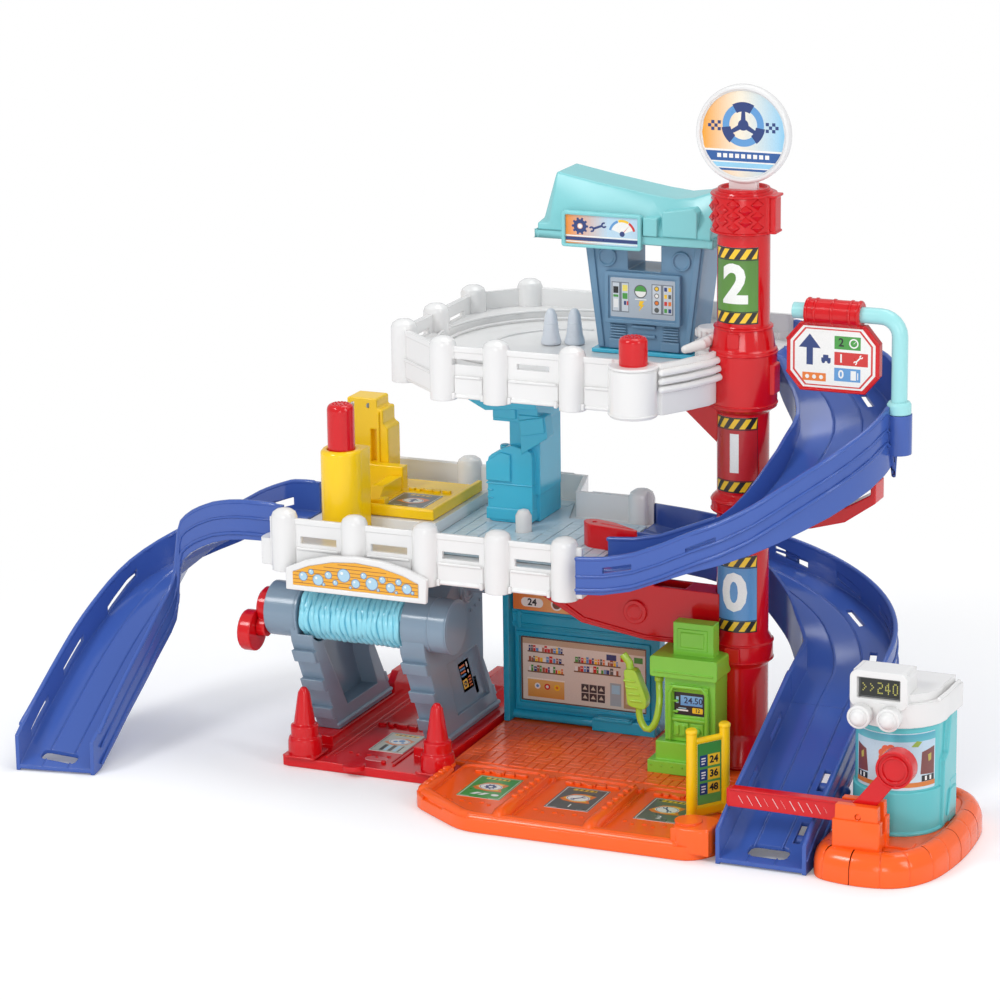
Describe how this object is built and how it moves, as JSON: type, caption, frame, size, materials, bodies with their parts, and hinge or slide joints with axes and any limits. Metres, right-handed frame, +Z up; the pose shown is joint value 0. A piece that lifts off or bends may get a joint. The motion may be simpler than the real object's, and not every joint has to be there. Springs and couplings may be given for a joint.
{
  "type": "toy garage",
  "caption": "Toy garage play set: round lift tower, stacked decks, curving car ramps, roller car wash, lift, fuel pump, shop front, toll booth with barrier and swinging sign.",
  "frame": {"origin": "on the floor, under the axis of the round tower", "axes": "+X from the wash side towards the ramp side, +Z up the tower, -Y towards the front with the bays and the ramp mouths"},
  "size_m": [0.7161, 0.3408, 0.5121],
  "materials": {
    "red_plastic": "satin moulded",
    "white_plastic": "satin moulded",
    "ramp_blue_plastic": "satin moulded",
    "orange_plastic": "satin moulded",
    "yellow_plastic": "satin moulded",
    "green_plastic": "satin moulded",
    "sky_blue_plastic": "satin moulded",
    "steel_blue_plastic": "matte moulded",
    "mint_plastic": "satin moulded",
    "wash_grey_plastic": "matte moulded",
    "pale_grey_plastic": "satin moulded",
    "aqua_plastic": "satin moulded",
    "black_plastic": "gloss print",
    "pale_blue_card": "printed film",
    "lime_plastic": "satin moulded",
    "axle_steel": "drawn rod",
    "tan_card": "printed film",
    "turquoise_plastic": "satin moulded",
    "roller_blue_plastic": "satin moulded"
  },
  "bodies": {
    "garage": {"barrier_pin": "orange_plastic", "barrier_post": "orange_plastic", "booth_base": "orange_plastic", "booth_body": "aqua_plastic", "booth_display": "black_plastic", "booth_roof": "white_plastic", "bracket_left": "red_plastic", "bracket_right": "red_plastic", "cone_left": "red_plastic", "cone_right": "red_plastic", "deck_cone_left": "pale_grey_plastic", "deck_cone_right": "pale_grey_plastic", "deck_one": "white_plastic", "deck_one_floor": "pale_blue_card", "deck_two": "white_plastic", "divider_nose": "red_plastic", "lift_housing": "yellow_plastic", "lift_tower": "yellow_plastic", "main_base": "orange_plastic", "price_sign": "yellow_plastic", "pump_base": "green_plastic", "pump_body": "green_plastic", "pump_roof": "green_plastic", "ramp_exit": "ramp_blue_plastic", "ramp_left": "ramp_blue_plastic", "ramp_lower": "ramp_blue_plastic", "ramp_upper": "ramp_blue_plastic", "shop_header": "tan_card", "shop_wall": "turquoise_plastic", "sign_pipe": "mint_plastic", "station_base": "sky_blue_plastic", "station_body": "steel_blue_plastic", "station_panel": "steel_blue_plastic", "station_roof": "mint_plastic", "station_sign": "steel_blue_plastic", "support_column": "sky_blue_plastic", "top_sign": "white_plastic", "tower_cap": "red_plastic", "tower_lower": "red_plastic", "tower_upper": "red_plastic", "tyre_stack": "white_plastic", "wash_base": "red_plastic", "wash_sign_frame": "white_plastic", "wash_sign_panel": "yellow_plastic", "wash_wall_left": "wash_grey_plastic", "wash_wall_right": "wash_grey_plastic"},
    "roller": {"crank_disc": "red_plastic", "crank_knob": "red_plastic", "roller_axle": "axle_steel", "wash_roller": "roller_blue_plastic"},
    "horn_key": {"horn_button": "red_plastic"},
    "lift_key": {"lift_button": "red_plastic"},
    "lift_car": {"lift_platform": "yellow_plastic"},
    "nozzle_arm": {"fuel_arm": "lime_plastic"},
    "hanging_sign": {"octagon_sign": "red_plastic"},
    "barrier": {"barrier_arm": "red_plastic"}
  },
  "joints": [
    {"name": "roller_spin", "type": "hinge", "parent": "garage", "child": "roller", "pos_m": [-0.35, -0.08, 0.114], "axis": [1, 0, 0], "continuous": true},
    {"name": "horn_press", "type": "slide", "parent": "garage", "child": "horn_key", "axis": [0, 0, -1], "range_m": [0, 0.01], "stiffness_N_per_m": 80, "springref_m": -0.004},
    {"name": "lift_press", "type": "slide", "parent": "garage", "child": "lift_key", "axis": [0, 0, -1], "range_m": [0, 0.016], "stiffness_N_per_m": 60, "springref_m": -0.006},
    {"name": "lift_rise", "type": "slide", "parent": "garage", "child": "lift_car", "axis": [0, 0, 1], "range_m": [0, 0.024]},
    {"name": "nozzle_swing", "type": "hinge", "parent": "garage", "child": "nozzle_arm", "pos_m": [-0.0508, -0.038, 0.083], "axis": [0, 0, 1], "range_deg": [-45, 15]},
    {"name": "sign_swing", "type": "hinge", "parent": "garage", "child": "hanging_sign", "pos_m": [0.0685, 0, 0.3525], "axis": [1, 0, 0], "range_deg": [-60, 60]},
    {"name": "barrier_lift", "type": "hinge", "parent": "garage", "child": "barrier", "pos_m": [0.147, -0.168, 0.044], "axis": [0, 1, 0], "range_deg": [0, 60]}
  ],
  "couplings": [
    {"joint": "lift_rise", "follows": "lift_press", "ratio": 1.5}
  ]
}
